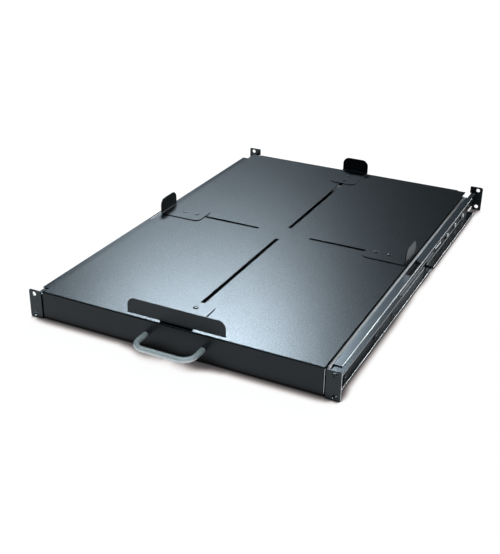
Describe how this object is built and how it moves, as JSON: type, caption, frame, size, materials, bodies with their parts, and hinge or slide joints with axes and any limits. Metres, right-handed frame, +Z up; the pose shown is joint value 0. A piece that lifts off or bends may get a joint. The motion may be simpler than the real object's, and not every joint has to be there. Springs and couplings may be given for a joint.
{
  "type": "sliding rack shelf",
  "caption": "One-unit rack shelf with front pull handle on full-extension ball-bearing slides, depth-adjustable rear brackets and clamped stops that slide in slots",
  "frame": {"origin": "middle of the four front rack holes, on the front face of the front ears", "axes": "+X to the right seen from the front, +Y to the back of the rack, +Z up"},
  "size_m": [0.4826, 0.7585, 0.0696],
  "materials": {
    "tray_paint": "black powder coat with a fine texture",
    "stop_paint": "black powder coat with a fine texture",
    "rail_paint": "charcoal powder coat with a fine texture",
    "bracket_paint": "charcoal powder coat with a fine texture",
    "slide_zinc": "rolled steel, bright zinc plated",
    "cage_steel": "thin rolled steel strip",
    "ball_steel": "polished hardened steel",
    "fastener_zinc": "zinc plated steel",
    "screw_black": "black oxide steel",
    "bumper_rubber": "moulded black rubber",
    "handle_satin": "bent round rod, satin nickel plated"
  },
  "bodies": {
    "rails": {"left_main_rail": "rail_paint", "left_front_bracket": "bracket_paint", "left_outer_slide": "slide_zinc", "left_slide_rivets": "fastener_zinc", "left_front_screws": "fastener_zinc", "left_adjust_screws": "fastener_zinc", "left_slide_bumper": "bumper_rubber", "right_main_rail": "rail_paint", "right_front_bracket": "bracket_paint", "right_outer_slide": "slide_zinc", "right_slide_rivets": "fastener_zinc", "right_front_screws": "fastener_zinc", "right_adjust_screws": "fastener_zinc", "right_slide_bumper": "bumper_rubber"},
    "tray": {"shelf_tray": "tray_paint", "front_panel": "tray_paint", "pull_handle": "handle_satin", "handle_screws": "fastener_zinc", "left_tray_channel": "tray_paint", "left_inner_slide": "slide_zinc", "left_slide_screws": "fastener_zinc", "right_tray_channel": "tray_paint", "right_inner_slide": "slide_zinc", "right_slide_screws": "fastener_zinc"},
    "left_rear_bracket": {"left_rear_bracket": "bracket_paint"},
    "left_middle_slide": {"left_middle_slide": "slide_zinc"},
    "left_outer_cage": {"left_outer_cage": "cage_steel", "left_outer_balls": "ball_steel"},
    "left_inner_cage": {"left_inner_cage": "cage_steel", "left_inner_balls": "ball_steel"},
    "right_rear_bracket": {"right_rear_bracket": "bracket_paint"},
    "right_middle_slide": {"right_middle_slide": "slide_zinc"},
    "right_outer_cage": {"right_outer_cage": "cage_steel", "right_outer_balls": "ball_steel"},
    "right_inner_cage": {"right_inner_cage": "cage_steel", "right_inner_balls": "ball_steel"},
    "front_stop": {"front_stop": "stop_paint", "front_stop_clamp": "fastener_zinc", "front_stop_screws": "screw_black"},
    "rear_stop": {"rear_stop": "stop_paint", "rear_stop_clamp": "fastener_zinc", "rear_stop_screws": "screw_black"},
    "left_stop": {"left_stop": "stop_paint", "left_stop_clamp": "fastener_zinc", "left_stop_screws": "screw_black"},
    "right_stop": {"right_stop": "stop_paint", "right_stop_clamp": "fastener_zinc", "right_stop_screws": "screw_black"}
  },
  "joints": [
    {"name": "tray_slide", "type": "slide", "parent": "rails", "child": "tray", "axis": [0, -1, 0], "range_m": [0, 0.64]},
    {"name": "left_middle_slide_travel", "type": "slide", "parent": "rails", "child": "left_middle_slide", "axis": [0, -1, 0], "range_m": [0, 0.32]},
    {"name": "left_outer_cage_travel", "type": "slide", "parent": "rails", "child": "left_outer_cage", "axis": [0, -1, 0], "range_m": [0, 0.16]},
    {"name": "left_inner_cage_travel", "type": "slide", "parent": "rails", "child": "left_inner_cage", "axis": [0, -1, 0], "range_m": [0, 0.48]},
    {"name": "left_depth_adjust", "type": "slide", "parent": "rails", "child": "left_rear_bracket", "axis": [0, 1, 0], "range_m": [0, 0.08]},
    {"name": "right_middle_slide_travel", "type": "slide", "parent": "rails", "child": "right_middle_slide", "axis": [0, -1, 0], "range_m": [0, 0.32]},
    {"name": "right_outer_cage_travel", "type": "slide", "parent": "rails", "child": "right_outer_cage", "axis": [0, -1, 0], "range_m": [0, 0.16]},
    {"name": "right_inner_cage_travel", "type": "slide", "parent": "rails", "child": "right_inner_cage", "axis": [0, -1, 0], "range_m": [0, 0.48]},
    {"name": "right_depth_adjust", "type": "slide", "parent": "rails", "child": "right_rear_bracket", "axis": [0, 1, 0], "range_m": [0, 0.08]},
    {"name": "front_stop_adjust", "type": "slide", "parent": "tray", "child": "front_stop", "axis": [0, 1, 0], "range_m": [0, 0.255]},
    {"name": "rear_stop_adjust", "type": "slide", "parent": "tray", "child": "rear_stop", "axis": [0, -1, 0], "range_m": [0, 0.245]},
    {"name": "left_stop_adjust", "type": "slide", "parent": "tray", "child": "left_stop", "axis": [1, 0, 0], "range_m": [0, 0.105]},
    {"name": "right_stop_adjust", "type": "slide", "parent": "tray", "child": "right_stop", "axis": [-1, 0, 0], "range_m": [0, 0.105]}
  ],
  "couplings": [
    {"joint": "left_middle_slide_travel", "follows": "tray_slide", "ratio": 0.5},
    {"joint": "left_outer_cage_travel", "follows": "tray_slide", "ratio": 0.25},
    {"joint": "left_inner_cage_travel", "follows": "tray_slide", "ratio": 0.75},
    {"joint": "right_middle_slide_travel", "follows": "tray_slide", "ratio": 0.5},
    {"joint": "right_outer_cage_travel", "follows": "tray_slide", "ratio": 0.25},
    {"joint": "right_inner_cage_travel", "follows": "tray_slide", "ratio": 0.75}
  ]
}
